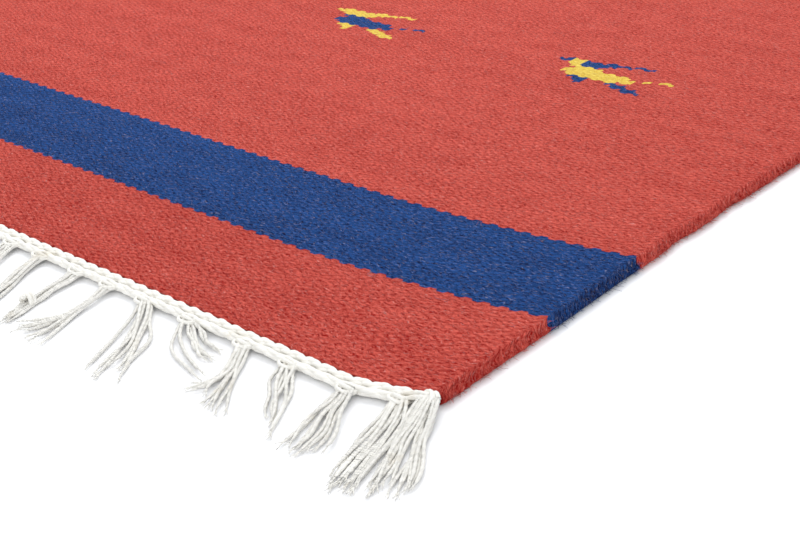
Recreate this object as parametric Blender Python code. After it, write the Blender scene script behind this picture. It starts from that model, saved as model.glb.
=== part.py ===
"""Kilim rug lying flat: woven body, a plait along each end, and a fringe of knotted tassels.

Metres, +Z up. The origin is on the floor under the middle of the rug. Y runs along the warps,
X along the wefts. The near end is at -Y, and the far end is the near end turned half round.
"""
import math

import bmesh
import bpy
import numpy as np

# ---- Driving dimensions -------------------------------------------------------------------
RUG_WIDTH = 0.90            # across the wefts, selvedge to selvedge
RUG_LENGTH = 1.50           # woven length along the warps, without plaits and fringe
CLOTH_THICK = 0.0044        # weft-faced wool
SELVEDGE_THICK = 0.0053     # wool wrapped round the bundled edge warps
GAP = 0.0003                # clearance between pieces that touch

CORNER_PULL = 0.009         # how far tight weaving draws a corner back from the end line
CORNER_REACH = 0.042        # distance from the side over which it does so

SIDE_WAVE = 0.0011          # height of the slow wave along a selvedge
SIDE_WAVE_LENGTH = 0.43

PLAIT_WIDTH = 0.0042        # row of plaited warp ends, pulled tight against the last weft
PLAIT_HEIGHT = 0.0049
PLAIT_INSET = 0.0012        # the plait stops this far inside the side of the rug

CORD_WIDTH = 0.0042         # rolled cord outside the plait, from which the tassels hang
CORD_HEIGHT = 0.0043

NECK_WIDTH = 0.0052         # a tassel where it leaves its knot
NECK_HEIGHT = 0.0042
TIP_HEIGHT = 0.0020
SWEEP_POWER = 1.4           # above 1, a tassel leans most near its knot
TASSEL_STATIONS = (0.14, 0.40, 0.70, 1.0)

ROW_PITCH = 0.05            # mesh rows along the rug
COLUMN_PITCH = 0.06         # mesh columns across it
COLUMN_MARGIN = 0.06        # the plain columns stop this far from a side

# Distances from a side at which the drawn-in corner gets a column.
CORNER_COLUMNS = (0.010, 0.018, 0.026, 0.034, CORNER_REACH)

# Section of the right selvedge, from the flat of the cloth round to the floor.
SELVEDGE_SECTION = (        # (inset from the side, height)
    (0.0062, 0.0047),
    (0.0041, SELVEDGE_THICK),
    (0.0022, SELVEDGE_THICK),
    (0.0007, 0.0043),
    (0.0000, 0.0028),
    (0.0005, 0.0012),
)
FOOT_INSET = 0.0022         # where the rounded selvedge meets the floor

# Lumps and nicks of the right selvedge; the left one has the same, turned half round.
SELVEDGE_NICKS = (          # (distance from the near end, depth, half length)
    (0.187, 0.0014, 0.016),
    (0.236, 0.0012, 0.014),
    (0.505, -0.0010, 0.020),
    (0.930, 0.0012, 0.018),
    (1.285, -0.0009, 0.022),
)

# Tassels of the near end, counted from its right corner.
TASSEL_ROWS = (             # (distance from the side, sweep to the right, reach, tip width)
    (0.007, 0.028, 0.060, 0.017),
    (0.017, 0.021, 0.061, 0.012),
    (0.042, 0.020, 0.047, 0.019),
    (0.075, 0.033, 0.043, 0.008),
    (0.103, 0.026, 0.046, 0.024),
    (0.139, 0.037, 0.034, 0.013),
    (0.169, 0.040, 0.057, 0.020),
    (0.195, 0.009, 0.060, 0.022),
    (0.219, 0.013, 0.053, 0.010),
    (0.248, 0.021, 0.052, 0.013),
    (0.272, 0.024, 0.051, 0.014),
)
TASSEL_PITCH = 0.0285       # spacing of the tassels past the rows above
LAST_TASSEL_INSET = 0.008   # the last tassel stops this far from the left side

WOOL_COLOR = (0.53, 0.078, 0.058, 1.0)
COTTON_COLOR = (0.84, 0.81, 0.74, 1.0)


# ---- Lines that several pieces share ------------------------------------------------------
def smooth_step(value):
    """Eased 0 to 1 ramp."""
    share = min(max(value, 0.0), 1.0)
    return share * share * (3.0 - 2.0 * share)


def column_positions():
    """X of every mesh column between the two selvedge sections, left to right."""
    half = RUG_WIDTH / 2
    span = half - COLUMN_MARGIN
    count = round(2 * span / COLUMN_PITCH)
    plain = [-span + 2 * span * step / count for step in range(count + 1)]
    left = [-half + distance for distance in CORNER_COLUMNS]
    right = [half - distance for distance in reversed(CORNER_COLUMNS)]
    return left + plain + right


def corner_pull(x):
    """How far the end line is drawn back at x, on the polyline through the columns."""
    half = RUG_WIDTH / 2
    distances = (0.0,) + CORNER_COLUMNS
    pulls = [CORNER_PULL * smooth_step(1 - distance / CORNER_REACH) for distance in distances]
    return float(np.interp(half - abs(x), distances, pulls))


def end_line(x, outward):
    """Y at x of the line that runs this far outside the near end of the cloth."""
    return -RUG_LENGTH / 2 + corner_pull(x) - outward


def side_shift(y):
    """How far the right selvedge stands out or in at y."""
    wave = SIDE_WAVE * math.sin(2 * math.pi * y / SIDE_WAVE_LENGTH)
    for distance, depth, half_length in SELVEDGE_NICKS:
        offset = abs(y + RUG_LENGTH / 2 - distance) / half_length
        wave -= depth * smooth_step(1 - offset)
    return wave


# ---- Mesh helpers -------------------------------------------------------------------------
def bridge(mesh, first, second):
    """Join two closed rings of vertices with a band of quads."""
    count = len(first)
    for index in range(count):
        following = (index + 1) % count
        mesh.faces.new((first[index], first[following], second[following], second[index]))


def make_object(name, mesh, material):
    """Close a bmesh into a named object with its faces pointing out."""
    bmesh.ops.recalc_face_normals(mesh, faces=mesh.faces)
    data = bpy.data.meshes.new(name)
    mesh.to_mesh(data)
    mesh.free()
    data.materials.append(material)
    data.shade_smooth()
    data.set_sharp_from_angle(angle=math.radians(35))
    piece = bpy.data.objects.new(name, data)
    bpy.context.collection.objects.link(piece)
    return piece


def turned_copy(piece, name):
    """The same piece at the far end of the rug."""
    copy = bpy.data.objects.new(name, piece.data)
    copy.rotation_euler.z = math.pi
    bpy.context.collection.objects.link(copy)
    return copy


def fibre_material(name, color, roughness):
    material = bpy.data.materials.new(name)
    material.use_nodes = True
    shader = material.node_tree.nodes["Principled BSDF"]
    shader.inputs["Base Color"].default_value = color
    shader.inputs["Roughness"].default_value = roughness
    shader.inputs["Metallic"].default_value = 0.0
    material.diffuse_color = color
    return material


# ---- Woven body ---------------------------------------------------------------------------
def body_rows():
    """Y of the mesh rows, with extra ones where a selvedge has a lump or a nick."""
    half = RUG_LENGTH / 2
    count = round(RUG_LENGTH / ROW_PITCH)
    rows = [-half + RUG_LENGTH * step / count for step in range(count + 1)]
    for distance, _, half_length in SELVEDGE_NICKS:
        for side in (1, -1):
            centre = side * (distance - half)
            rows = [y for y in rows if abs(y - centre) > half_length * 1.3 or abs(y) == half]
            rows += [centre - half_length, centre, centre + half_length]
    return sorted(rows)


def body_section(y):
    """Points of the cross-section at y: left foot, over the top, right foot."""
    half = RUG_WIDTH / 2
    right_shift = side_shift(y)
    left_shift = side_shift(-y)
    points = [(-half - left_shift + FOOT_INSET, 0.0)]
    for inset, height in reversed(SELVEDGE_SECTION):
        points.append((-half - left_shift + inset, height))
    points += [(x, CLOTH_THICK) for x in column_positions()]
    for inset, height in SELVEDGE_SECTION:
        points.append((half + right_shift - inset, height))
    points.append((half + right_shift - FOOT_INSET, 0.0))
    return points


def build_body(material):
    mesh = bmesh.new()
    sections = []
    for y in body_rows():
        section = []
        for x, z in body_section(y):
            share = 1 - corner_pull(x) / (RUG_LENGTH / 2)
            section.append(mesh.verts.new((x, y * share, z)))
        sections.append(section)
    for near, far in zip(sections, sections[1:]):
        for index in range(len(near) - 1):
            mesh.faces.new((near[index], near[index + 1], far[index + 1], far[index]))

    # The end walls go down to a row of vertices on the floor, which bounds the flat underside.
    feet = []
    rim = len(SELVEDGE_SECTION) + 1
    for section in (sections[0], sections[-1]):
        top = section[rim:-rim]
        inner = [mesh.verts.new((vertex.co.x, vertex.co.y, 0.0)) for vertex in top]
        mesh.faces.new(section[:rim + 1] + [inner[0]])
        mesh.faces.new([inner[-1]] + section[-rim - 1:])
        for index in range(len(inner) - 1):
            mesh.faces.new((inner[index], inner[index + 1], top[index + 1], top[index]))
        feet.append([section[0]] + inner + [section[-1]])
    right_foot = [section[-1] for section in sections[1:-1]]
    left_foot = [section[0] for section in sections[1:-1]]
    mesh.faces.new(feet[0] + right_foot + feet[1][::-1] + left_foot[::-1])
    return make_object("rug_body", mesh, material)


# ---- Plait --------------------------------------------------------------------------------
def plait_positions():
    """X of the plait's sections: the body's columns and one at each end of the plait."""
    limit = RUG_WIDTH / 2 - PLAIT_INSET
    return [-limit] + column_positions() + [limit]


def plait_section():
    """Rounded section with a flat foot: (distance outward, height)."""
    width, height = PLAIT_WIDTH, PLAIT_HEIGHT
    return (
        (0.0, 0.0),
        (width, 0.0),
        (width, 0.55 * height),
        (0.80 * width, 0.88 * height),
        (0.50 * width, height),
        (0.20 * width, 0.92 * height),
        (0.0, 0.70 * height),
    )


def build_plait(material):
    mesh = bmesh.new()
    rings = []
    for x in plait_positions():
        ring = [mesh.verts.new((x, end_line(x, GAP + out), z)) for out, z in plait_section()]
        rings.append(ring)
    for left, right in zip(rings, rings[1:]):
        bridge(mesh, left, right)
    mesh.faces.new(rings[0])
    mesh.faces.new(rings[-1])
    return make_object("edge_plait_near", mesh, material)


# ---- Fringe -------------------------------------------------------------------------------
def tassels():
    """Rows of (x, sweep, reach, tip width) for every tassel of the near end."""
    rows = [(RUG_WIDTH / 2 - offset, *rest) for offset, *rest in TASSEL_ROWS]
    first = TASSEL_ROWS[-1][0]
    count = int((RUG_WIDTH - LAST_TASSEL_INSET - first) / TASSEL_PITCH)
    for number in range(1, count + 1):
        sweep = 0.013 + 0.010 * math.sin(1.9 * number)
        reach = 0.053 + 0.006 * math.sin(2.7 * number + 1.0)
        tip = 0.014 + 0.004 * math.sin(3.3 * number + 2.0)
        rows.append((RUG_WIDTH / 2 - first - number * TASSEL_PITCH, sweep, reach, tip))
    return rows


def spine_section():
    """Section of the rolled cord; its last three points face out, where tassels grow."""
    width, height = CORD_WIDTH, CORD_HEIGHT
    return (
        (0.0, 0.0),
        (0.0, 0.70 * height),
        (0.25 * width, height),
        (0.75 * width, height),
        (width, 0.45 * height),
        (width, 0.0),
    )


def add_tassel(mesh, opening, row):
    """Grow one tassel out of the opening that the spine leaves for it."""
    x, sweep, reach, tip_width = row
    start_y = end_line(x, 2 * GAP + PLAIT_WIDTH + CORD_WIDTH)
    ring = opening
    for share in TASSEL_STATIONS:
        centre_x = x + sweep * (1 - (1 - share) ** SWEEP_POWER)
        centre_y = start_y - reach * share
        slope = sweep * SWEEP_POWER * (1 - min(share, 0.95)) ** (SWEEP_POWER - 1)
        length = math.hypot(slope, reach)
        across_x, across_y = reach / length, slope / length
        half = 0.5 * (NECK_WIDTH + (tip_width - NECK_WIDTH) * share)
        height = NECK_HEIGHT + (TIP_HEIGHT - NECK_HEIGHT) * share
        outline = (
            (-half, 0.0),
            (half, 0.0),
            (half, 0.45 * height),
            (0.6 * half, height),
            (-0.6 * half, height),
            (-half, 0.45 * height),
        )
        following = [
            mesh.verts.new((centre_x + side * across_x, centre_y + side * across_y, z))
            for side, z in outline
        ]
        bridge(mesh, ring, following)
        ring = following
    mesh.faces.new(ring)


def build_fringe(material):
    """One comb: the spine's sections, open at the neck of each tassel, and the tassels."""
    rows = tassels()
    necks = {}
    for number, row in enumerate(rows):
        necks[row[0] - NECK_WIDTH / 2] = number
    stations = set(necks) | {row[0] + NECK_WIDTH / 2 for row in rows}
    limit = RUG_WIDTH / 2 - PLAIT_INSET
    clear = [
        x for x in column_positions() + [-limit, limit]
        if all(abs(x - row[0]) > NECK_WIDTH / 2 + 0.0005 for row in rows)
    ]
    stations |= set(clear)

    mesh = bmesh.new()
    rings = {}
    for x in sorted(stations):
        rings[x] = [
            mesh.verts.new((x, end_line(x, 2 * GAP + PLAIT_WIDTH + out), z))
            for out, z in spine_section()
        ]
    ordered = sorted(rings)
    for left_x, right_x in zip(ordered, ordered[1:]):
        left, right = rings[left_x], rings[right_x]
        if left_x not in necks:
            bridge(mesh, left, right)
            continue
        for index in (0, 1, 2, 5):
            following = (index + 1) % len(left)
            mesh.faces.new((left[index], left[following], right[following], right[index]))
        opening = [left[5], right[5], right[4], right[3], left[3], left[4]]
        add_tassel(mesh, opening, rows[necks[left_x]])
    mesh.faces.new(rings[ordered[0]])
    mesh.faces.new(rings[ordered[-1]])
    return make_object("fringe_near", mesh, material)


# ---- Assembly -----------------------------------------------------------------------------
def main():
    for item in list(bpy.data.objects):
        bpy.data.objects.remove(item, do_unlink=True)
    body = build_body(fibre_material("wool", WOOL_COLOR, 0.90))
    plait = build_plait(fibre_material("plait_cotton", COTTON_COLOR, 0.85))
    fringe = build_fringe(fibre_material("fringe_cotton", COTTON_COLOR, 0.85))
    far_plait = turned_copy(plait, "edge_plait_far")
    far_fringe = turned_copy(fringe, "fringe_far")
    rug = bpy.data.objects.new("kilim_rug", None)
    bpy.context.collection.objects.link(rug)
    for piece in (body, plait, fringe, far_plait, far_fringe):
        piece.parent = rug


main()
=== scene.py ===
import math

import bpy
import numpy as np
from mathutils import Matrix, Vector


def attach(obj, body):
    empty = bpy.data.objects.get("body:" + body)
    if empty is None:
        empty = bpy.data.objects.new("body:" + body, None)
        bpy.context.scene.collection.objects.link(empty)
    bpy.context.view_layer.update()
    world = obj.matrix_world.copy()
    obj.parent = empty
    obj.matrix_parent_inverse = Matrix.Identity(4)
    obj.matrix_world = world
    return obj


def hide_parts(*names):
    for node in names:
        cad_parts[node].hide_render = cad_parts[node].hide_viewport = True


# A kilim rug lying flat: woven wool body with rounded selvedges, plaited cotton ends and a
# fringe of knotted tassels. Metres, +Z up, Y along the warps, the near end at -Y.

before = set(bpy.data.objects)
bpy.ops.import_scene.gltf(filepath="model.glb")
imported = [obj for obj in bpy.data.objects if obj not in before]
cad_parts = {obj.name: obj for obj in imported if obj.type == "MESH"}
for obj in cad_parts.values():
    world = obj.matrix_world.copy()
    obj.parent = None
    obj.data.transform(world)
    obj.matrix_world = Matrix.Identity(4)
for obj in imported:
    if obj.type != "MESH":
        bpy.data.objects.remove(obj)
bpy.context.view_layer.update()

# ---- Sizes shared with the solids ---------------------------------------------------------
WIDTH = 0.90
LENGTH = 1.50
HALF_WIDTH = WIDTH / 2
HALF_LENGTH = LENGTH / 2
CLOTH_THICK = 0.0044
SELVEDGE_THICK = 0.0053
CORNER_PULL = 0.009
CORNER_REACH = 0.042
SIDE_WAVE = 0.0011
SIDE_WAVE_LENGTH = 0.43
SELVEDGE_NICKS = (          # (distance from the near end, depth, half length)
    (0.187, 0.0014, 0.016),
    (0.236, 0.0012, 0.014),
    (0.505, -0.0010, 0.020),
    (0.930, 0.0012, 0.018),
    (1.285, -0.0009, 0.022),
)

# ---- Weave --------------------------------------------------------------------------------
WARP_PITCH = 0.00464        # one warp to the next; a weft float is about this wide
FLOAT_HEIGHT = 0.0034       # one visible weft float to the next along a warp
FIBRE_SLANT = 0.10          # how far the spun fibres lean from the weft's line
WEFT_BOW = 0.0165           # how far wefts near the ends are drawn back at the sides
WEFT_BOW_REACH = 0.167      # distance from the side over which they bend
BOW_RISE = 0.060            # the bow grows from the corner pull to its full size over this
BOW_FADE = (0.16, 0.75)     # and fades to nothing between these distances from an end
RED_BAND = 0.0700           # end line to blue band
BLUE_BAND = 0.0712          # width of the blue band
TOOTH = 0.00085             # half height of the steps along a colour change


def smooth_step(value):
    share = np.clip(value, 0.0, 1.0)
    return share * share * (3.0 - 2.0 * share)


def corner_pull(distance):
    """How far the end line is drawn back, at a distance from the side."""
    return CORNER_PULL * smooth_step(1 - np.abs(distance) / CORNER_REACH)


def end_line(x):
    """Y of the near end of the cloth at x."""
    return -HALF_LENGTH + corner_pull(HALF_WIDTH - np.abs(x))


def weft_pull(from_end, distance):
    """How far the weft that starts this far from an end is drawn towards the rug's middle."""
    bow = WEFT_BOW * np.clip(1 - distance / WEFT_BOW_REACH, 0, 1) ** 2
    rise = smooth_step(from_end / BOW_RISE)
    return corner_pull(distance) * (1 - rise) + bow * rise * end_fade(from_end)


def end_fade(from_end):
    """1 near an end and 0 in the rug's middle."""
    return 1 - smooth_step((from_end - BOW_FADE[0]) / (BOW_FADE[1] - BOW_FADE[0]))


def wrap_run(along, inset):
    """How far along the rug a weft's turn round the selvedge has run at this inset."""
    from_end = np.minimum(along, LENGTH - along)
    toward = np.where(along < HALF_LENGTH, 1.0, -1.0)
    turn = smooth_step((WRAP_REACH - inset) / WRAP_REACH)
    return WRAP_SLANT * toward * turn * end_fade(from_end)


def side_shift(y):
    """How far the right selvedge stands out or in at y; the left one is this turned round."""
    wave = SIDE_WAVE * np.sin(2 * np.pi * y / SIDE_WAVE_LENGTH)
    for distance, depth, half_length in SELVEDGE_NICKS:
        wave = wave - depth * smooth_step(1 - np.abs(y + HALF_LENGTH - distance) / half_length)
    return wave


# ---- Node helpers -------------------------------------------------------------------------
CLOTH_GLOSS = 0.08
SHEEN_ROUGHNESS = 0.45


class Graph:
    """Short calls that add nodes to one material."""

    def __init__(self, name):
        self.material = bpy.data.materials.new(name)
        self.material.use_nodes = True
        self.tree = self.material.node_tree
        self.shader = self.tree.nodes["Principled BSDF"]

    def node(self, kind, **settings):
        made = self.tree.nodes.new(kind)
        for name, value in settings.items():
            setattr(made, name, value)
        return made

    def feed(self, socket, value):
        if isinstance(value, bpy.types.NodeSocket):
            self.tree.links.new(value, socket)
        elif value is not None:
            socket.default_value = value

    def math(self, operation, first, second=None, third=None):
        made = self.node("ShaderNodeMath", operation=operation)
        for socket, value in zip(made.inputs, (first, second, third)):
            self.feed(socket, value)
        return made.outputs[0]

    def scaled(self, vector, factors):
        made = self.node("ShaderNodeVectorMath", operation="MULTIPLY")
        self.feed(made.inputs[0], vector)
        made.inputs[1].default_value = factors
        return made.outputs[0]

    def noise(self, vector, scale=1.0, detail=2.0, roughness=0.5):
        made = self.node("ShaderNodeTexNoise")
        self.feed(made.inputs["Vector"], vector)
        made.inputs["Scale"].default_value = scale
        made.inputs["Detail"].default_value = detail
        made.inputs["Roughness"].default_value = roughness
        return made.outputs[0]

    def ramp(self, value, low, high, to_low=0.0, to_high=1.0, smooth=True):
        made = self.node("ShaderNodeMapRange")
        made.interpolation_type = "SMOOTHSTEP" if smooth else "LINEAR"
        self.feed(made.inputs["Value"], value)
        made.inputs["From Min"].default_value = low
        made.inputs["From Max"].default_value = high
        self.feed(made.inputs["To Min"], to_low)
        self.feed(made.inputs["To Max"], to_high)
        return made.outputs[0]

    def mix(self, factor, first, second):
        made = self.node("ShaderNodeMix", data_type="RGBA")
        self.feed(made.inputs[0], factor)
        self.feed(made.inputs[6], first)
        self.feed(made.inputs[7], second)
        return made.outputs[2]

    def combine(self, x, y, z=0.0):
        made = self.node("ShaderNodeCombineXYZ")
        for socket, value in zip(made.inputs, (x, y, z)):
            self.feed(socket, value)
        return made.outputs[0]

    def attribute(self, name):
        """A mesh attribute's vector, then its X, Y and Z parts."""
        source = self.node("ShaderNodeAttribute", attribute_name=name)
        parts = self.node("ShaderNodeSeparateXYZ")
        self.tree.links.new(source.outputs["Vector"], parts.inputs[0])
        return source.outputs["Vector"], parts.outputs[0], parts.outputs[1], parts.outputs[2]

    def brightness(self, color, factor):
        """The colour times a plain number."""
        made = self.node("ShaderNodeVectorMath", operation="SCALE")
        self.feed(made.inputs[0], color)
        self.feed(made.inputs["Scale"], factor)
        return made.outputs[0]

    def finish(self, color, height, bump_distance, roughness, sheen):
        bump = self.node("ShaderNodeBump")
        self.feed(bump.inputs["Height"], height)
        bump.inputs["Distance"].default_value = bump_distance
        self.tree.links.new(bump.outputs[0], self.shader.inputs["Normal"])
        self.feed(self.shader.inputs["Base Color"], color)
        self.feed(self.shader.inputs["Roughness"], roughness)
        self.shader.inputs["Specular IOR Level"].default_value = CLOTH_GLOSS
        self.shader.inputs["Sheen Weight"].default_value = sheen
        self.shader.inputs["Sheen Roughness"].default_value = SHEEN_ROUGHNESS
        return self.material


# ---- Wool ---------------------------------------------------------------------------------
# Each dye runs from its deep tone, painted shade in the pits, to its pale tone, painted light on the brushed
# fibres.
RED_DYE_SHADED_TO_LIT = ((0.290, 0.003, 0.002, 1.0), (0.790, 0.140, 0.104, 1.0))
BLUE_DYE_SHADED_TO_LIT = ((0.001, 0.002, 0.032, 1.0), (0.021, 0.100, 0.352, 1.0))
YELLOW_DYE_SHADED_TO_LIT = ((0.690, 0.380, 0.022, 1.0), (0.940, 0.740, 0.150, 1.0))
# The colour of the palest fibres: partly the wool's own, partly a painted highlight.
PALE_FIBRE_AND_HIGHLIGHT = (0.780, 0.630, 0.590, 1.0)
PALE_SHARE = 0.35           # how far the palest fibres go towards that colour, partly pale wool and partly painted highlight

# Noise scales, across and along the warps, and how much each noise adds to the relief.
WANDER_SCALES = ((75, 110, 1), (70, 180, 1))
WANDER = (0.0050, 0.0056)   # how far warps and picks wander, in metres
CURL_SCALES = ((230, 330, 1), (370, 260, 1))
CURL = (0.0052, 0.0034)     # how far the fibres bend, in metres
CLUMP_SCALE = (370, 1100, 1)
FIBRE_SCALE = (480, 2200, 1)
CROSSING_SCALE = (520, 2900, 1)
PALE_SCALE = (300, 1500, 1)
FLOAT_SHARE = 0.105
CLUMP_SHARE = 1.15
CROSSING_SHARE = 0.58
RELIEF_RANGE = (1.05, 1.58) # relief heights that the deep tone (painted shade) and the pale tone (painted light) stand for
# painted shade: how much the wool darkens in the pits between clumps
PIT_SHADE = -0.52
# painted shade: how much the wool darkens in the grooves between selvedge wraps
GROOVE_SHADE = -0.55
END_SHADE = -0.09           # the wool is darker by this at an end, painted shade
END_SHADE_REACH = 0.22
RAGGED = 0.0016             # how far fibres blur a colour change
WOOL_BUMP = 0.0009
WOOL_ROUGHNESS = 0.95

MOTIF_PITCH = 0.1966        # one animal to the next across the rug
ROW_START = 0.15            # the rows of animals repeat from here, measured along the warps
ROW_PITCH = 0.40
PICK_ROW = 0.0034           # height of one row of the animal's chart

# The animal, charted on the warps: it faces left, and its back is away from the near end.
ANIMAL_CHART = (            # (row, first warp, last warp, part), from the middle of its repeat
    (-4, -3, -3, "trim"),
    (-4, 4, 6, "trim"),
    (-3, -4, -3, "trim"),
    (-3, 2, 5, "trim"),
    (-2, -5, -3, "trim"),
    (-2, 1, 3, "trim"),
    (-1, -6, 1, "coat"),
    (0, -7, 3, "coat"),
    (1, -7, 3, "coat"),
    (2, -6, 2, "coat"),
    (3, -7, -3, "coat"),
    (2, 5, 5, "coat"),
    (3, 7, 8, "coat"),
    (4, -8, -7, "head"),
    (4, -6, -4, "trim"),
    (5, -8, -7, "head"),
    (5, -6, -3, "trim"),
    (5, -10, -9, "trim"),
    (6, -8, -7, "head"),
    (6, -6, -2, "trim"),
    (6, -9, -9, "trim"),
    (7, -3, 0, "trim"),
    (8, 1, 3, "trim"),
)
ANIMAL_SHIFT = 0.5          # warps to the right of the middle of its repeat


def folded(graph, value, pitch, offset=0.0):
    """Distance from the middle of the repeat that holds this value."""
    shifted = graph.math("SUBTRACT", value, offset)
    wrapped = graph.math("FLOORED_MODULO", shifted, pitch)
    return graph.math("SUBTRACT", wrapped, pitch / 2)


def animal_masks(graph, across, along):
    """Masks of the animals' coats, trims and heads, and which animals have a yellow coat."""
    past_start = graph.math("SUBTRACT", along, ROW_START)
    row_number = graph.math("FLOOR", graph.math("DIVIDE", past_start, ROW_PITCH))
    middle_row = graph.math("COMPARE", row_number, 1.0, 0.1)
    shifted = graph.math("MULTIPLY_ADD", middle_row, MOTIF_PITCH / 2, across)
    cell = graph.math("FLOOR", graph.math("DIVIDE", shifted, MOTIF_PITCH))
    swapped = graph.math("FLOORED_MODULO", cell, 2.0)
    local_x = graph.math("DIVIDE", folded(graph, shifted, MOTIF_PITCH), WARP_PITCH)
    local_x = graph.math("SUBTRACT", local_x, ANIMAL_SHIFT)
    local_y = graph.math("DIVIDE", folded(graph, along, ROW_PITCH, ROW_START), PICK_ROW)

    masks = {"coat": None, "trim": None, "head": None}
    for row, first, last, part in ANIMAL_CHART:
        wide = graph.math("COMPARE", local_x, (first + last) / 2, (last - first + 1) / 2)
        high = graph.math("COMPARE", local_y, float(row), 0.5)
        cell_mask = graph.math("MULTIPLY", wide, high)
        so_far = masks[part]
        masks[part] = cell_mask if so_far is None else graph.math("MAXIMUM", so_far, cell_mask)

    in_rows = graph.math("COMPARE", row_number, 1.0, 1.5)
    limit = graph.math("MULTIPLY_ADD", middle_row, -MOTIF_PITCH / 2, 2 * MOTIF_PITCH)
    in_field = graph.math("LESS_THAN", graph.math("ABSOLUTE", across), limit)
    allowed = graph.math("MULTIPLY", in_rows, in_field)
    coat = graph.math("MULTIPLY", masks["coat"], allowed)
    trim = graph.math("MULTIPLY", masks["trim"], allowed)
    head = graph.math("MULTIPLY", masks["head"], allowed)
    return coat, trim, head, swapped


def wool_relief(graph, weave, across, along):
    """Relief of the weft floats and the loose wool on them; then fibres, pits and their lay."""
    # Uneven weaving: warps and picks wander a little.
    wander = graph.noise(graph.scaled(weave, WANDER_SCALES[0]))
    wander_more = graph.noise(graph.scaled(weave, WANDER_SCALES[1]))
    across_uneven = graph.math("MULTIPLY_ADD", wander, WANDER[0], across)
    along_uneven = graph.math("MULTIPLY_ADD", wander_more, WANDER[1], along)

    # Each float covers one warp, and its neighbours sit half a float higher or lower.
    over_warps = graph.math("COSINE", graph.math("MULTIPLY", across_uneven, math.pi / WARP_PITCH))
    over_picks = graph.math("COSINE", graph.math("MULTIPLY", along_uneven, 2 * math.pi / FLOAT_HEIGHT))
    floats = graph.math("MULTIPLY", over_warps, over_picks)

    # The wool's spin lays its fibres a little aslant of the weft.
    slanted = graph.math("MULTIPLY_ADD", across, FIBRE_SLANT, along)
    curl = graph.noise(graph.scaled(weave, CURL_SCALES[0]))
    curl_more = graph.noise(graph.scaled(weave, CURL_SCALES[1]))
    lay = graph.combine(
        graph.math("MULTIPLY_ADD", curl, CURL[0], across),
        graph.math("MULTIPLY_ADD", curl_more, CURL[1], slanted),
    )
    clumps = graph.noise(graph.scaled(lay, CLUMP_SCALE), detail=3, roughness=0.68)
    fibres = graph.noise(graph.scaled(lay, FIBRE_SCALE), detail=3, roughness=0.7)
    aslant = graph.combine(
        graph.math("MULTIPLY_ADD", along, 0.9, across),
        graph.math("MULTIPLY_ADD", across, -0.6, along),
    )
    crossing = graph.noise(graph.scaled(aslant, CROSSING_SCALE), roughness=0.7)
    height = graph.math("MULTIPLY_ADD", clumps, CLUMP_SHARE, graph.math("MULTIPLY", floats, FLOAT_SHARE))
    height = graph.math("ADD", height, fibres)
    height = graph.math("MULTIPLY_ADD", crossing, CROSSING_SHARE, height)
    # Where the pits are; the wool's tone is darkened there as painted shade.
    pits = graph.ramp(clumps, 0.43, 0.33)
    return height, fibres, pits, lay


# A dye's colour, from its painted shade to its painted light, set by the tone.
def dye_shaded_to_lit(graph, tone, dye):
    return graph.mix(tone, dye[0], dye[1])


def wool_places(graph, across, along, fibres):
    """Where a colour change falls, ragged and stepped; the distance to an end; the blue band."""
    step_wave = graph.math("SINE", graph.math("MULTIPLY", across, math.pi / WARP_PITCH))
    step = graph.math("MULTIPLY", graph.ramp(step_wave, -0.55, 0.55, -1.0, 1.0), TOOTH)
    ragged = graph.math("MULTIPLY_ADD", graph.math("SUBTRACT", fibres, 0.5), RAGGED, step)
    woven_along = graph.math("ADD", along, ragged)
    from_end = graph.math("MINIMUM", woven_along, graph.math("SUBTRACT", LENGTH, woven_along))
    blue = graph.math("COMPARE", from_end, RED_BAND + BLUE_BAND / 2, BLUE_BAND / 2)
    return woven_along, from_end, blue


def uneven_dye(graph, weave, scale, detail, amount):
    """Slow changes of tone by up to this amount."""
    return graph.ramp(graph.noise(graph.scaled(weave, scale), detail=detail), 0.3, 0.7, -amount, amount)


def wool_tone(graph, weave, height, pits, groove, from_end):
    """Dark in the pits and the grooves and near an end, as painted shade; pale on the brushed fibres, as
    painted light; over the dye's own slow changes.
    """
    abrash = uneven_dye(graph, weave, (3, 55, 1), 3, 0.05)
    mottle = uneven_dye(graph, weave, (45, 70, 1), 2, 0.06)
    # The relief sets the tone: painted shade where it is low, painted light where it is high.
    tone = graph.ramp(height, *RELIEF_RANGE, 0.0, 1.0, smooth=False)
    tone = graph.math("ADD", graph.math("ADD", tone, abrash), mottle)
    # Painted shade that darkens the wool towards an end.
    tone = graph.math("ADD", tone, graph.ramp(from_end, 0.0, END_SHADE_REACH, END_SHADE, 0.0))
    # Painted shade in the pits.
    tone = graph.math("MULTIPLY_ADD", pits, PIT_SHADE, tone)
    # Painted shade in the grooves between the selvedge's wraps.
    return graph.math("MULTIPLY_ADD", groove, GROOVE_SHADE, tone)


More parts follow.
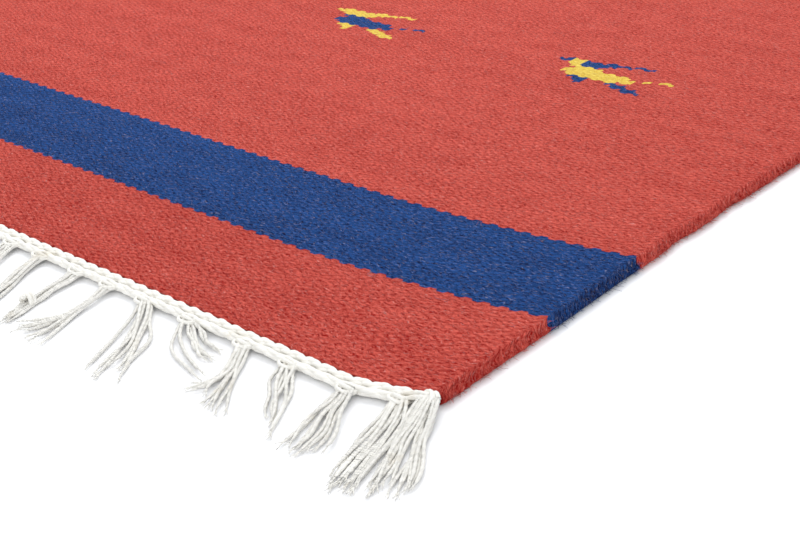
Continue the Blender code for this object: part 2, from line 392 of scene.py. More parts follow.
def wool_material(name, paleness):
    """Dyed wool with painted shade and light; paleness brings the loose fibres out from the cloth with the
    pale fibre colour, partly a painted highlight.
    """
    graph = Graph(name)
    weave, across, along, groove = graph.attribute("weave")
    height, fibres, pits, lay = wool_relief(graph, weave, across, along)
    woven_along, from_end, blue = wool_places(graph, across, along, fibres)
    coat, trim, head, swapped = animal_masks(graph, across, woven_along)
    tone = wool_tone(graph, weave, height, pits, groove, from_end)

    red_wool = dye_shaded_to_lit(graph, tone, RED_DYE_SHADED_TO_LIT)
    blue_wool = dye_shaded_to_lit(graph, tone, BLUE_DYE_SHADED_TO_LIT)
    yellow_wool = dye_shaded_to_lit(graph, tone, YELLOW_DYE_SHADED_TO_LIT)
    color = graph.mix(blue, red_wool, blue_wool)
    color = graph.mix(coat, color, graph.mix(swapped, blue_wool, yellow_wool))
    color = graph.mix(trim, color, graph.mix(swapped, yellow_wool, blue_wool))
    color = graph.mix(head, color, yellow_wool)
    # Pale streaks along the fibres: pale wool, partly painted highlight.
    pale_noise = graph.noise(graph.scaled(lay, PALE_SCALE), detail=4, roughness=0.72)
    pale = graph.ramp(pale_noise, 0.56, 0.68)
    color = graph.mix(pale, color, graph.mix(PALE_SHARE, color, PALE_FIBRE_AND_HIGHLIGHT))
    if paleness:
        color = graph.mix(paleness, color, PALE_FIBRE_AND_HIGHLIGHT)
    return graph.finish(color, height, WOOL_BUMP, WOOL_ROUGHNESS, sheen=0.0)


# ---- Cotton -------------------------------------------------------------------------------
COTTON = (0.945, 0.925, 0.870, 1.0)
# COTTON_SHADE is painted shade for the grooves between plies and the low streaks of a cord.
COTTON_SHADE = (0.720, 0.670, 0.575, 1.0)
COTTON_STAIN = (0.620, 0.520, 0.350, 1.0)
COTTON_BUMP = 0.00022
COTTON_ROUGHNESS = 0.9
COTTON_SHEEN = 0.05


def cotton_material():
    graph = Graph("cotton_cord")
    _, run, groove, tone = graph.attribute("cord")
    place = graph.node("ShaderNodeTexCoord").outputs["Object"]
    streak_place = graph.combine(
        graph.math("MULTIPLY", run, 420),
        graph.math("MULTIPLY", groove, 5),
        graph.math("MULTIPLY", tone, 37),
    )
    streaks = graph.noise(streak_place, detail=3, roughness=0.65)
    fluff = graph.noise(place, scale=1900, detail=3, roughness=0.7)
    height = graph.math("MULTIPLY_ADD", groove, -0.5, graph.math("MULTIPLY_ADD", streaks, 1.3, fluff))
    stain = graph.ramp(graph.noise(place, scale=85, detail=3), 0.58, 0.74, 0.0, 0.28)
    # Painted shade in the grooves between the plies and along the low streaks.
    in_groove = graph.ramp(groove, 0.55, 1.0, 0.0, 0.30)
    deep = graph.math("MAXIMUM", in_groove, graph.ramp(streaks, 0.40, 0.25, 0.0, 0.28))
    color = graph.mix(deep, COTTON, COTTON_SHADE)
    color = graph.mix(stain, color, COTTON_STAIN)
    color = graph.brightness(color, graph.math("MULTIPLY_ADD", tone, 0.06, 0.96))
    return graph.finish(color, height, COTTON_BUMP, COTTON_ROUGHNESS, COTTON_SHEEN)


# ---- Mesh helpers -------------------------------------------------------------------------
def mesh_piece(name, points, faces, material, attribute=None, values=None):
    """A smooth mesh object; values fill a vector attribute of its points."""
    data = bpy.data.meshes.new(name)
    data.from_pydata(points, [], faces)
    if attribute:
        layer = data.attributes.new(attribute, "FLOAT_VECTOR", "POINT")
        layer.data.foreach_set("vector", np.asarray(values, np.float32).ravel())
    data.materials.append(material)
    data.shade_smooth()
    data.update()
    piece = bpy.data.objects.new(name, data)
    bpy.context.scene.collection.objects.link(piece)
    return piece


# ---- Woven body ---------------------------------------------------------------------------
ROWS = 1101                 # mesh rows along the rug, closer together than a selvedge wrap
SELVEDGE_STEPS = 11         # mesh columns round each selvedge
SELVEDGE_REACH = 0.0085     # the rounded edge starts this far from the side
WRAP_HEIGHT = 0.00060       # how far a wrap of weft stands out of the selvedge
WRAP_SLANT = 0.0064         # how far a weft runs along the side as it turns round it
WRAP_REACH = 0.0055         # the turn starts this far from the side
WRAP_LENGTHS = (0.0042, 0.0092)
WRAP_MIDDLE = 0.7           # a wrap this high leaves the selvedge where its section has it
SWAY = 0.00025              # slow unevenness of the selvedge
RIPPLE = 0.00022            # and of the cloth's top
END_DROP = 0.0004           # the top rounds down by this at an end
END_DROP_REACH = 0.003
UNDERSIDE_X = (HALF_WIDTH - 0.05, 0.15, -0.15, -HALF_WIDTH + 0.05)


def noise_line(count, spacing, seed):
    """Smooth random values from -1 to 1, with a new one every so many samples."""
    generator = np.random.default_rng(seed)
    knots = generator.uniform(-1, 1, int(count / spacing) + 4)
    places = np.arange(count) / spacing
    left = places.astype(int)
    share = smooth_step(places - left)
    return knots[left] * (1 - share) + knots[left + 1] * share


def wraps(count, step, seed):
    """Rounded lumps of uneven length along a selvedge, from 0 in a groove to 1."""
    generator = np.random.default_rng(seed)
    edges = [0.0]
    while edges[-1] < count * step:
        edges.append(edges[-1] + generator.uniform(*WRAP_LENGTHS))
    places = np.arange(count) * step
    index = np.searchsorted(edges, places, side="right") - 1
    starts = np.array(edges)[index]
    sizes = np.array(edges)[index + 1] - starts
    share = (places - starts) / sizes
    heights = generator.uniform(0.55, 1.0, len(edges))[index]
    return heights * np.sin(np.pi * share) ** 0.55


def edge_section():
    """A selvedge's section from the cloth's flat top to the floor: insets, heights, run and roundness."""
    centre = SELVEDGE_THICK / 2
    angles = np.linspace(math.radians(90), math.radians(-75), SELVEDGE_STEPS)
    insets = centre * 1.25 * (1 - np.cos(angles))
    heights = centre * (1 + np.sin(angles))
    heights[-1] = 0.0
    lead_insets = np.array([SELVEDGE_REACH, 0.0062, 0.0046])
    lead_heights = np.array([CLOTH_THICK, CLOTH_THICK + 0.0004, CLOTH_THICK + 0.0008])
    insets = np.concatenate([lead_insets, insets])
    heights = np.concatenate([lead_heights, heights])
    run = np.concatenate([[0], np.cumsum(np.hypot(np.diff(insets), np.diff(heights)))])
    roundness = np.clip((SELVEDGE_REACH - insets) / SELVEDGE_REACH, 0, 1)
    return insets, heights, run, roundness


def body_columns():
    """X of the flat columns between the selvedges."""
    inner = HALF_WIDTH - SELVEDGE_REACH
    near_edge = inner - np.array([0.006, 0.013, 0.022, 0.033, 0.05, 0.075])
    plain = np.linspace(-near_edge[-1], near_edge[-1], 27)[1:-1]
    return np.concatenate([-near_edge, plain, near_edge[::-1]])


def edge_columns(side, along):
    """The mesh columns of one selvedge: x, z, distance from the side, across, woven, groove."""
    step = LENGTH / (ROWS - 1)
    toward = np.where(along < HALF_LENGTH, 1.0, -1.0)
    from_end = np.minimum(along, LENGTH - along)
    insets, heights, run, roundness = edge_section()
    edge_y = along - HALF_LENGTH + toward * weft_pull(from_end, np.zeros(ROWS))
    shift = side_shift(side * edge_y)
    lumps = wraps(ROWS, step, 11 + side)
    sway = noise_line(ROWS, 9, 31 + side)
    columns = []
    for index in range(len(insets)):
        slant = wrap_run(along, insets[index])
        wrap = np.interp(along + slant, along, lumps)
        out = roundness[index] * (WRAP_HEIGHT * (wrap - WRAP_MIDDLE) + SWAY * sway)
        lean = math.pi / 2 * roundness[index]
        x = side * (HALF_WIDTH + shift - insets[index] + out * math.sin(lean))
        z = heights[index] + out * math.cos(lean) * (heights[index] > 0.001)
        across = side * (HALF_WIDTH - SELVEDGE_REACH + run[index])
        # how deep in a groove between wraps, where the wool gets painted shade
        groove = roundness[index] * (1 - wrap)
        columns.append((x, z, max(insets[index], 0.0), across, along + slant, groove))
    return columns


def flat_columns(along):
    """The mesh columns of the cloth's top between the selvedges."""
    from_end = np.minimum(along, LENGTH - along)
    end_round = END_DROP * (1 - smooth_step(from_end / END_DROP_REACH))
    columns = []
    for number, x in enumerate(np.sort(body_columns())):
        ripple = RIPPLE * noise_line(ROWS, 55, 100 + number // 3)
        columns.append((x, CLOTH_THICK + ripple - end_round, HALF_WIDTH - abs(x), x, along, 0.0))
    return columns


def ring_faces(width):
    """Quads between the rows of a closed ring of points, and a face at each end."""
    row = np.arange(ROWS - 1)[:, None] * width
    column = np.arange(width)[None, :]
    following = (column + 1) % width
    quads = np.stack([row + column, row + following, row + width + following, row + width + column], axis=2)
    faces = quads.reshape(-1, 4).tolist()
    faces.append(list(range(width))[::-1])
    faces.append(list(range((ROWS - 1) * width, ROWS * width)))
    return faces


def build_body(material):
    along = np.linspace(0, LENGTH, ROWS)
    from_end = np.minimum(along, LENGTH - along)
    toward = np.where(along < HALF_LENGTH, 1.0, -1.0)

    # The underside is flat on the floor and shares its outer points with the selvedges.
    underside = [(x, 0.0, HALF_WIDTH - abs(x), x, along, 0.0) for x in UNDERSIDE_X]
    columns = edge_columns(-1, along)[::-1] + flat_columns(along) + edge_columns(1, along) + underside

    shaped = []
    for x, z, distance, across, woven, groove in columns:
        y = along - HALF_LENGTH + toward * weft_pull(from_end, distance)
        shaped.append([np.broadcast_to(part, along.shape) for part in (x, y, z, across, woven, groove)])
    x, y, z, across, woven, groove = (np.stack(parts, axis=1) for parts in zip(*shaped))
    points = np.stack([x, y, np.maximum(z, 0.0)], axis=2).reshape(-1, 3)
    weave = np.stack([across, woven, groove], axis=2).reshape(-1, 3)
    return mesh_piece("woven_rug", points, ring_faces(len(columns)), material, "weave", weave)


# ---- Cords --------------------------------------------------------------------------------
class Cords:
    """Closed tubes gathered into one mesh, each point with its run, turn and tone."""

    def __init__(self):
        self.points = []
        self.values = []
        self.faces = []
        self.count = 0

    def add(self, path, radius, sides=8, up=(0, 0, 1), tone=0.5, lobes=0, depth=0.0, lay=0.014):
        """Add a tube along a path; its plies, the lobes, turn once in every lay."""
        path = np.asarray(path, float)
        rings = len(path)
        tangent = np.gradient(path, axis=0)
        tangent /= np.linalg.norm(tangent, axis=1)[:, None]
        side = np.cross(np.asarray(up, float), tangent)
        side /= np.linalg.norm(side, axis=1)[:, None]
        lift = np.cross(tangent, side)
        run = np.concatenate([[0], np.cumsum(np.linalg.norm(np.diff(path, axis=0), axis=1))])
        base = np.arange(sides) * 2 * np.pi / sides
        groove = 0.5 - 0.5 * np.cos(lobes * base)
        turn = base[None, :] + (2 * np.pi / lay) * run[:, None]
        reach = np.broadcast_to(radius, (rings,))[:, None] * (1 - depth * groove)
        ring = (
            path[:, None, :]
            + (reach * np.cos(turn))[:, :, None] * side[:, None, :]
            + (reach * np.sin(turn))[:, :, None] * lift[:, None, :]
        )
        self.points.append(ring.reshape(-1, 3))
        value = np.stack(np.broadcast_arrays(run[:, None], groove[None, :], tone), axis=2)
        self.values.append(value.reshape(-1, 3))
        first = self.count + np.arange(rings - 1)[:, None] * sides
        here = np.arange(sides)[None, :]
        after = (here + 1) % sides
        quads = np.stack([first + here, first + after, first + sides + after, first + sides + here], axis=2)
        self.faces += quads.reshape(-1, 4).tolist()
        self.faces.append(list(range(self.count, self.count + sides))[::-1])
        last = self.count + (rings - 1) * sides
        self.faces.append(list(range(last, last + sides)))
        self.count += rings * sides

    def piece(self, name, material):
        points = np.concatenate(self.points)
        points[:, 2] = np.maximum(points[:, 2], 0.0001)
        return mesh_piece(name, points, self.faces, material, "cord", np.concatenate(self.values))


def turned(points):
    """The same points at the far end of the rug."""
    return np.asarray(points) * np.array([-1.0, -1.0, 1.0])


def rope_strands(line, strands, radius, lay, phase=0.0):
    """Paths of the strands of a rope that follows a line lying along X."""
    run = np.concatenate([[0], np.cumsum(np.linalg.norm(np.diff(line, axis=0), axis=1))])
    tangent = np.gradient(line, axis=0)
    tangent /= np.linalg.norm(tangent, axis=1)[:, None]
    side = np.cross((0, 0, 1), tangent)
    lift = np.cross(tangent, side)
    paths = []
    for number in range(strands):
        angle = 2 * np.pi * (run / lay + number / strands) + phase
        paths.append(line + radius * (np.cos(angle)[:, None] * side + np.sin(angle)[:, None] * lift))
    return paths


PLAIT_OUT = 0.0019          # the plait's centre stands this far outside the cloth
PLAIT_RISE = 0.0030         # and this high
ROPE_OUT = 0.0063           # the rolled cord's centre stands this far outside the cloth
ROPE_RISE = 0.0028
ROPE_TUCK = 0.0040          # at the corner the rolled cord runs up into the plait
ROPE_TUCK_REACH = 0.022
END_SAMPLES = 900
END_INSET = 0.0015          # plait and rolled cord stop this far from the side
PLAIT_HELIX = 0.00074       # the plait's two strands run this far from its centre
PLAIT_STRAND = 0.00174
ROPE_HELIX = 0.00088
ROPE_STRAND = 0.00132
ROPE_LAY = 0.036
STRAND_UNEVEN = 0.06


def rope_out(x):
    """How far outside the cloth the rolled cord runs at x."""
    return ROPE_OUT - ROPE_TUCK * smooth_step(1 - (HALF_WIDTH - np.abs(x)) / ROPE_TUCK_REACH)


def build_ends(material):
    """The plait and the rolled cord of both ends."""
    pieces = []
    x = np.linspace(-HALF_WIDTH + END_INSET, HALF_WIDTH - END_INSET, END_SAMPLES)
    for name, end in (("near", 0), ("far", 1)):
        plait = Cords()
        uneven = noise_line(len(x), 12, 51 + end)
        line = np.stack([x, end_line(x) - PLAIT_OUT, PLAIT_RISE + 0.00015 * uneven], axis=1)
        for number, path in enumerate(rope_strands(line, 2, PLAIT_HELIX, 4 * WARP_PITCH)):
            thick = PLAIT_STRAND * (1 + STRAND_UNEVEN * noise_line(len(x), 10, 61 + 2 * end + number))
            path = turned(path) if end else path
            plait.add(path, thick, sides=12, lobes=3, depth=0.26, lay=-0.014, tone=0.4 + 0.3 * number)
        rope = Cords()
        sag = 0.00035 * noise_line(len(x), 31, 57 + end)
        line = np.stack([x, end_line(x) - rope_out(x) - sag, np.full_like(x, ROPE_RISE)], axis=1)
        for number, path in enumerate(rope_strands(line, 3, ROPE_HELIX, ROPE_LAY, 0.8)):
            thick = ROPE_STRAND * (1 + STRAND_UNEVEN * noise_line(len(x), 17, 71 + 3 * end + number))
            path = turned(path) if end else path
            rope.add(path, thick, sides=8, lobes=2, depth=0.16, lay=-0.012, tone=0.3 + 0.3 * number)
        pieces.append((plait.piece("twined_edge_" + name, material), "edge_plait_" + name))
        pieces.append((rope.piece("rolled_cord_" + name, material), None))
    return pieces


# ---- Tassels ------------------------------------------------------------------------------
CORD_RADIUS = 0.00104
PLY_LAY = 0.0085            # the two plies of a fringe cord turn once in this length
RING_SPACING = 0.00130
FLUFF_FIBRES = 4            # loose fibres on each cord
FLUFF_RADIUS = 0.00007
FRAY_FIBRES = 4             # loose ends beyond each cord's tip
FRAY_RADIUS = 0.00040
HITCH_RADIUS = 0.00112
WINDING_RADIUS = 0.0013     # of the cord wound round a tassel
KNOB_RADIUS = 0.00128       # of the cords of the corner knob
NECK = 0.0056               # width of a tassel at its knot
CORNER_RISE = 0.0018        # the corner tassel leaves the rug this much higher
CORNER_TASSEL = 0.010       # a tassel nearer to the side than this is the corner tassel
TASSEL_PITCH = 0.0285
LAST_TASSEL_INSET = 0.014

# The tassels nearest the right corner, each as the two cords at its edges. Places are in
# metres from the tassel's knot: to the right, then out from the rug.
TASSELS = (
    # (distance from the side, left middle, left tip, right middle, right tip, cords, neck)
    (0.0030, (0.003, 0.027), (0.014, 0.061), (0.017, 0.025), (0.031, 0.050), 18, 0.0080),
    (0.0145, (0.004, 0.022), (0.015, 0.060), (0.014, 0.021), (0.024, 0.057), 12, 0.0064),
    (0.0365, (0.001, 0.021), (0.005, 0.045), (0.014, 0.020), (0.025, 0.042), 8, NECK),
    (0.0695, (0.005, 0.017), (0.023, 0.037), (0.014, 0.013), (0.031, 0.040), 6, NECK),
    (0.0975, (0.008, 0.021), (0.006, 0.037), (0.014, 0.018), (0.034, 0.045), 9, NECK),
    (0.1335, (0.013, 0.020), (0.041, 0.032), (0.015, 0.004), (0.028, 0.009), 7, NECK),
    (0.1635, (0.012, 0.025), (0.025, 0.056), (0.025, 0.019), (0.045, 0.048), 7, NECK),
    (0.1895, (0.005, 0.025), (-0.008, 0.051), (0.008, 0.027), (0.016, 0.056), 7, NECK),
    (0.2135, (0.002, 0.023), (0.006, 0.049), (0.006, 0.023), (0.011, 0.051), 7, NECK),
    (0.2425, (0.004, 0.021), (0.011, 0.047), (0.009, 0.021), (0.020, 0.047), 7, NECK),
    (0.2665, (0.003, 0.023), (0.013, 0.049), (0.011, 0.021), (0.024, 0.047), 7, NECK),
)
KNOTTED = (8, 19)           # these tassels have a wrapped knot part way down


def tassel_rows():
    """Every tassel of an end: the ones above, then ones that vary along a few waves."""
    rows = list(TASSELS)
    first = TASSELS[-1][0]
    count = int((WIDTH - LAST_TASSEL_INSET - first) / TASSEL_PITCH)
    for number in range(1, count + 1):
        sweep = 0.013 + 0.010 * math.sin(1.9 * number)
        reach = 0.053 + 0.006 * math.sin(2.7 * number + 1.0)
        spread = 0.007 + 0.002 * math.sin(3.3 * number + 2.0)
        rows.append((
            first + number * TASSEL_PITCH,
            (0.6 * sweep - 0.5 * spread, 0.50 * reach),
            (sweep - spread, 0.97 * reach),
            (0.6 * sweep + 0.5 * spread, 0.48 * reach),
            (sweep + spread, reach),
            6 + number % 3,
            NECK,
        ))
    return rows


def curve_through(start, middle, tip, share):
    """Quadratic curve that passes its middle point half way."""
    control = 2 * middle - 0.5 * (start + tip)
    share = share[:, None]
    return (1 - share) ** 2 * start + 2 * share * (1 - share) * control + share ** 2 * tip


def tassel_knot(row):
    """Where a tassel leaves the rolled cord: x, y and height."""
    x = HALF_WIDTH - row[0]
    raised = CORNER_RISE * (row[0] < CORNER_TASSEL)
    return np.array([x, end_line(x) - rope_out(x) - 0.0006, ROPE_RISE + raised])


def tassel_paths(row, generator):
    """Paths of one tassel's cords, from the knot to their tips on the floor."""
    _, left_middle, left_tip, right_middle, right_tip, cords, neck = row
    knot = tassel_knot(row)
    origin = knot[:2]
    out = np.array([1.0, -1.0])
    paths = []
    for number in range(cords):
        share = number / (cords - 1)
        blend = np.clip(share + generator.normal(0, 0.09), -0.08, 1.08)
        layer = number % 2
        start = origin + np.array([neck * (share - 0.5), 0.0])
        middle = origin + out * ((1 - blend) * np.array(left_middle) + blend * np.array(right_middle))
        length = generator.uniform(0.84, 1.02)
        tip = origin + out * length * ((1 - blend) * np.array(left_tip) + blend * np.array(right_tip))
        rough = curve_through(start, middle, tip, np.linspace(0, 1, 9))
        size = np.linalg.norm(np.diff(rough, axis=0), axis=1).sum()
        travel = np.linspace(0, 1, int(size / RING_SPACING) + 2)
        flat = curve_through(start, middle, tip, travel)
        swing = travel * generator.uniform(4, 9) + generator.uniform(0, 6.3)
        wave = generator.uniform(0.0004, 0.0016) * np.sin(swing) * smooth_step(travel * 2)
        ahead = (tip - start) / np.linalg.norm(tip - start)
        flat += wave[:, None] * np.array([ahead[1], -ahead[0]])
        fall = smooth_step(travel / generator.uniform(0.22, 0.50))
        high = knot[2] + 0.0016 * layer - 0.0006
        low = CORD_RADIUS + generator.uniform(0.0, 0.0014) * layer
        arch = generator.uniform(0.0002, 0.0014) * np.sin(np.pi * np.clip(travel * 1.6, 0, 1))
        height = high * (1 - fall) + low * fall + arch
        paths.append(np.column_stack([flat, np.maximum(height, 0.9 * CORD_RADIUS)]))
    return paths


HITCH_LOOPS = (             # (wider than the neck on each side, out, up)
    (0.0018, 0.0048, 0.0010),
    (0.0004, 0.0026, 0.0022),
)


def loop_over(knot, half_width, depth, rise):
    """A cord that bows out over a tassel's neck, from the rolled cord and back into it."""
    angle = np.linspace(0, np.pi, 13)
    return np.column_stack([
        knot[0] - half_width * np.cos(angle),
        knot[1] - depth * np.sin(angle) ** 0.7,
        knot[2] + rise * np.sin(angle),
    ])


def wound_ring(centre, forward, radius, turns, drift):
    """A cord wound round a bundle that runs forward."""
    angle = np.linspace(-0.6, 2 * np.pi * turns - 0.6, int(14 * turns) + 1)
    offset = drift * (angle / angle[-1] - 0.5)
    out = radius * np.cos(angle)
    return np.column_stack([
        centre[0] + forward[1] * out + forward[0] * offset,
        centre[1] - forward[0] * out + forward[1] * offset,
        centre[2] + radius * np.sin(angle),
    ])


def add_wound_knot(cords, centre, forward, radius, turns, drift, end):
    path = wound_ring(centre, forward, radius, turns, drift)
    path = turned(path) if end else path
    up = (forward[0], forward[1], 0.0)
    cords.add(path, WINDING_RADIUS, up=up, lobes=2, depth=0.2, lay=0.02)


def add_frayed_tip(cords, path, generator, end):
    """Loose ends of the plies beyond a cord's tip."""
    tip = path[-1]
    ahead = path[-1] - path[-3]
    ahead = ahead[:2] / np.linalg.norm(ahead[:2])
    across = np.array([-ahead[1], ahead[0]])
    for _ in range(FRAY_FIBRES):
        spread = generator.uniform(-0.0018, 0.0018)
        length = generator.uniform(0.0035, 0.0070)
        share = np.linspace(0, 1, 4)
        flat = tip[:2] + np.outer(share * length - 0.002, ahead) + np.outer(share ** 1.5 * spread, across)
        rise = tip[2] + (generator.uniform(0.0004, 0.0016) - tip[2]) * share
        fibre = np.column_stack([flat, rise])
        fibre = turned(fibre) if end else fibre
        cords.add(fibre, FRAY_RADIUS * (1 - 0.7 * share), sides=4, tone=1.0)


def add_fluff(cords, path, generator, end):
    """Short loose fibres that stand off a cord, more of them near its tip."""
    for _ in range(FLUFF_FIBRES):
        place = int((len(path) - 3) * generator.uniform(0, 1) ** 0.6) + 1
        root = path[place]
        heading = generator.uniform(0, 2 * math.pi)
        share = np.linspace(0, 1, 3)
        ahead = (math.cos(heading), math.sin(heading))
        flat = root[:2] + np.outer(share, ahead) * generator.uniform(0.0014, 0.0034)
        rise = root[2] + CORD_RADIUS * 0.6 + 0.0008 * np.sin(np.pi * share) * generator.uniform(-0.5, 1.5)
        fibre = np.column_stack([flat, rise])
        fibre = turned(fibre) if end else fibre
        cords.add(fibre, FLUFF_RADIUS, sides=3, up=(0.1, 0.1, 1), tone=1.0)


def add_tassel(cords, row, index, generator, end):
    knot = tassel_knot(row)
    paths = tassel_paths(row, generator)
    hitches = () if row[0] < CORNER_TASSEL else HITCH_LOOPS
    for wider, depth, rise in hitches:
        loop = loop_over(knot, row[-1] / 2 + wider, depth, rise)
        loop = turned(loop) if end else loop
        cords.add(loop, HITCH_RADIUS, tone=0.6, lobes=2, depth=0.2, lay=0.02)
    for path in paths:
        travel = np.linspace(0, 1, len(path))
        taper = 1 - 0.55 * smooth_step((travel - 0.88) / 0.12)
        radius = CORD_RADIUS * generator.uniform(0.92, 1.10) * taper
        shown = turned(path) if end else path
        cords.add(shown, radius, sides=6, tone=generator.uniform(0, 1), lobes=2, depth=0.20, lay=PLY_LAY)
        add_frayed_tip(cords, path, generator, end)
        add_fluff(cords, path, generator, end)
    if index in KNOTTED:
        middle = np.mean([path[int(0.72 * len(path))] for path in paths], axis=0)
        ahead = np.mean([path[int(0.82 * len(path))] for path in paths], axis=0) - middle
        forward = ahead[:2] / np.linalg.norm(ahead[:2])
        add_wound_knot(cords, (middle[0], middle[1], 0.0032), forward, 0.0025, 2.4, 0.0046, end)


# Cords from the last hitch over the corner tassel to the knob where the plait ends. Places
# are in metres from the side and out from the end line, then up from the floor.
CORNER_CORDS = (
    ((0.0160, 0.0100, 0.0024), (0.0112, 0.0092, 0.0042), (0.0066, 0.0072, 0.0054), (0.0026, 0.0046, 0.0050)),
    ((0.0175, 0.0074, 0.0030), (0.0125, 0.0066, 0.0048), (0.0078, 0.0048, 0.0058), (0.0030, 0.0024, 0.0052)),
    (
        (0.0050, 0.0006, 0.0042), (0.0010, 0.0016, 0.0056),
        (-0.0012, 0.0056, 0.0046), (-0.0012, 0.0104, 0.0020),
    ),
    ((0.0072, 0.0016, 0.0048), (0.0032, 0.0024, 0.0062), (0.0008, 0.0058, 0.0056), (0.0006, 0.0114, 0.0026)),
)


def add_corner_knob(cords, end):
    """The cords that gather into a rounded knob at the right corner."""
    share = np.linspace(0, 1, 17)
    for index, places in enumerate(CORNER_CORDS):
        inset, out, rise = np.array(places).T
        knots = np.linspace(0, 1, len(places))
        x = HALF_WIDTH - smooth_line(share, knots, inset)
        y = end_line(HALF_WIDTH - places[-1][0]) - smooth_line(share, knots, out)
        path = np.column_stack([x, y, smooth_line(share, knots, rise)])
        path = turned(path) if end else path
        cords.add(path, KNOB_RADIUS, tone=0.3 + 0.1 * index, lobes=2, depth=0.2)


def smooth_line(places, knots, values):
    """A cubic through four evenly spaced values."""
    return np.polyval(np.polyfit(knots, values, 3), places)


def build_fringes(material):
    pieces = []
    for name, end in (("near", 0), ("far", 1)):
        generator = np.random.default_rng(7 + end)
        cords = Cords()
        for index, row in enumerate(tassel_rows()):
            add_tassel(cords, row, index, generator, end)
        add_corner_knob(cords, end)
        pieces.append((cords.piece("tassels_" + name, material), "fringe_" + name))
    return pieces


# ---- Loose wool ---------------------------------------------------------------------------
EDGE_HAIRS = 9000
EDGE_HAIR_RADIUS = 0.00010
EDGE_HAIR_SEED = 91
SURFACE_HAIRS = 7600
SURFACE_HAIR_RADIUS = 0.00008
SURFACE_HAIR_SEED = 92
SURFACE_INSET = 0.012       # surface hairs keep this far from the sides and ends
HAIR_JOINTS = 3


def add_hair(cords, root, heading, length, bend, lift, radius):
    """One loose fibre: from its root it heads away, bends and lifts."""
    share = np.linspace(0, 1, HAIR_JOINTS)
    angle = heading + bend * share
    step = length / (HAIR_JOINTS - 1)
    x = root[0] + np.concatenate([[0], np.cumsum(step * np.cos(angle[:-1]))])
    y = root[1] + np.concatenate([[0], np.cumsum(step * np.sin(angle[:-1]))])
    z = root[2] + lift * np.sin(np.pi * share * 0.8)
    cords.add(np.column_stack([x, y, z]), radius * (1 - 0.5 * share), sides=3, up=(0.1, 0.1, 1))


def hair_piece(cords, name, material, roots):
    """Make a piece whose every fibre takes the colour of the wool at its root."""
    points = np.concatenate(cords.points)
    points[:, 2] = np.maximum(points[:, 2], 0.0001)
    values = np.repeat(np.asarray(roots), len(points) // len(roots), axis=0)
    return mesh_piece(name, points, cords.faces, material, "weave", values)


def build_selvedge_hairs(material):
    generator = np.random.default_rng(EDGE_HAIR_SEED)
    insets, heights, run, _ = edge_section()
    cords = Cords()
    roots = []
    for _ in range(EDGE_HAIRS):
        side = generator.choice((-1, 1))
        from_near = generator.uniform(0.002, LENGTH - 0.002)
        near = min(from_near, LENGTH - from_near)
        pull = weft_pull(np.array(near), np.array(0.0)) * (1 if from_near < HALF_LENGTH else -1)
        y = from_near - HALF_LENGTH + float(pull)
        place = generator.uniform(0.25, 0.85)
        inset = np.interp(place, np.linspace(0, 1, len(insets)), insets)
        z = np.interp(place, np.linspace(0, 1, len(insets)), heights)
        across = HALF_WIDTH - SELVEDGE_REACH + np.interp(place, np.linspace(0, 1, len(run)), run)
        x = side * (HALF_WIDTH + side_shift(side * y) - inset - 0.0001)
        length = 0.0017 + 0.0033 * generator.uniform(0, 1) ** 3
        heading = generator.normal(0, 0.7) + (0 if side > 0 else math.pi)
        bend = generator.normal(0, 1.0)
        lift = generator.normal(0.0003, 0.0007)
        add_hair(cords, (x, y, z), heading, length, bend, lift, EDGE_HAIR_RADIUS)
        roots.append((side * across, from_near + float(wrap_run(from_near, inset)), 0.0))
    return hair_piece(cords, "selvedge_hairs", material, roots)


def build_surface_hairs(material):
    generator = np.random.default_rng(SURFACE_HAIR_SEED)
    cords = Cords()
    roots = []
    for _ in range(SURFACE_HAIRS):
        x = generator.uniform(-HALF_WIDTH + SURFACE_INSET, HALF_WIDTH - SURFACE_INSET)
        y = generator.uniform(-HALF_LENGTH + SURFACE_INSET, HALF_LENGTH - SURFACE_INSET)
        length = generator.uniform(0.0022, 0.0085)
        heading = generator.normal(-0.2, 0.8) + generator.choice((0, math.pi))
        bend = generator.normal(0, 1.3)
        root = (x, y, CLOTH_THICK + 0.0002)
        add_hair(cords, root, heading, length, bend, 0.0007, SURFACE_HAIR_RADIUS)
        roots.append((x, y + HALF_LENGTH, 0.0))
    return hair_piece(cords, "surface_hairs", material, roots)


# ---- Stage --------------------------------------------------------------------------------
EYE_HEIGHT = 0.307          # above the rug
EYE_RIGHT = 0.0253          # the near right corner lies this far right of the view, in eye heights
EYE_AHEAD = 1.5691          # and this far ahead
VIEW_AZIMUTH = 42.86        # degrees
VIEW_PITCH = 26.93
VIEW_ROLL = -3.15
FOCAL_LENGTH = 65.25
FLOOR_HALF = 12.0
FLOOR_DROP = 0.0002         # the floor lies this far under the rug
WORLD_COLOR = (0.95, 0.97, 1.0, 1.0)
WORLD_STRENGTH = 0.92
LIGHTS = (                  # (name, place, size, power)
    ("overhead", (-0.7, 0.6, 1.9), 1.6, 34.0),
    ("front", (1.6, -2.2, 1.3), 1.4, 12.0),
)
LIGHT_TARGET = (0.1, -0.3, 0)


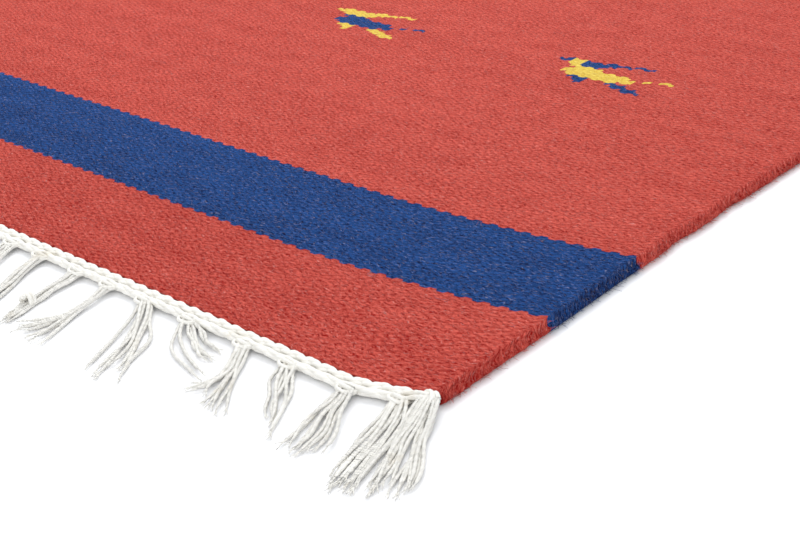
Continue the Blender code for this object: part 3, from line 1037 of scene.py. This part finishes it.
def build_camera():
    azimuth = math.radians(VIEW_AZIMUTH)
    pitch = math.radians(VIEW_PITCH)
    right = Vector((math.cos(azimuth), math.sin(azimuth), 0))
    ahead = Vector((-math.sin(azimuth), math.cos(azimuth), 0))
    up = ahead * math.sin(pitch) + Vector((0, 0, math.cos(pitch)))
    forward = ahead * math.cos(pitch) - Vector((0, 0, math.sin(pitch)))
    corner = Vector((HALF_WIDTH, -HALF_LENGTH, CLOTH_THICK))
    place = corner + EYE_HEIGHT * (Vector((0, 0, 1)) - right * EYE_RIGHT - ahead * EYE_AHEAD)
    axes = Matrix((right, up, -forward)).transposed()
    turn = axes @ Matrix.Rotation(math.radians(VIEW_ROLL), 3, "Z")
    data = bpy.data.cameras.new("camera")
    data.lens = FOCAL_LENGTH
    data.sensor_width = 36
    data.clip_start = 0.01
    camera = bpy.data.objects.new("camera", data)
    camera.matrix_world = Matrix.Translation(place) @ turn.to_4x4()
    bpy.context.scene.collection.objects.link(camera)
    bpy.context.scene.camera = camera


def build_stage():
    graph = Graph("pale_floor")
    place = graph.node("ShaderNodeTexCoord").outputs["Object"]
    tone = graph.ramp(graph.noise(place, scale=3, detail=2), 0.3, 0.7, 0.985, 1.0)
    color = graph.brightness((0.93, 0.93, 0.94), tone)
    graph.feed(graph.shader.inputs["Base Color"], color)
    graph.shader.inputs["Roughness"].default_value = 0.95
    graph.shader.inputs["Specular IOR Level"].default_value = 0.0
    size = FLOOR_HALF
    points = [(-size, -size, 0), (size, -size, 0), (size, size, 0), (-size, size, 0)]
    floor = mesh_piece("floor", points, [(0, 1, 2, 3)], graph.material)
    floor.location.z = -FLOOR_DROP

    world = bpy.data.worlds.new("studio")
    world.use_nodes = True
    background = world.node_tree.nodes["Background"]
    background.inputs["Color"].default_value = WORLD_COLOR
    background.inputs["Strength"].default_value = WORLD_STRENGTH
    bpy.context.scene.world = world

    for name, place, size, power in LIGHTS:
        light = bpy.data.lights.new(name, "AREA")
        light.size = size
        light.energy = power
        lamp = bpy.data.objects.new(name, light)
        lamp.location = place
        aim = Vector(LIGHT_TARGET) - Vector(place)
        lamp.rotation_euler = aim.to_track_quat("-Z", "Y").to_euler()
        bpy.context.scene.collection.objects.link(lamp)
    bpy.context.scene.view_settings.view_transform = "Standard"


# ---- Assembly -----------------------------------------------------------------------------
def main():
    build_camera()
    build_stage()
    wool = wool_material("wool_weave", 0.0)
    loose_wool = wool_material("wool_fibres", 0.24)
    edge_wool = wool_material("selvedge_fibres", 0.05)
    cotton = cotton_material()
    rug = build_body(wool)
    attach(rug, "root")
    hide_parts("rug_body")
    hairs = [build_selvedge_hairs(edge_wool), build_surface_hairs(loose_wool)]
    for piece in hairs:
        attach(piece, "root")
    trims = build_ends(cotton) + build_fringes(cotton)
    for piece, node in trims:
        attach(piece, "root")
        if node:
            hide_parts(node)


main()
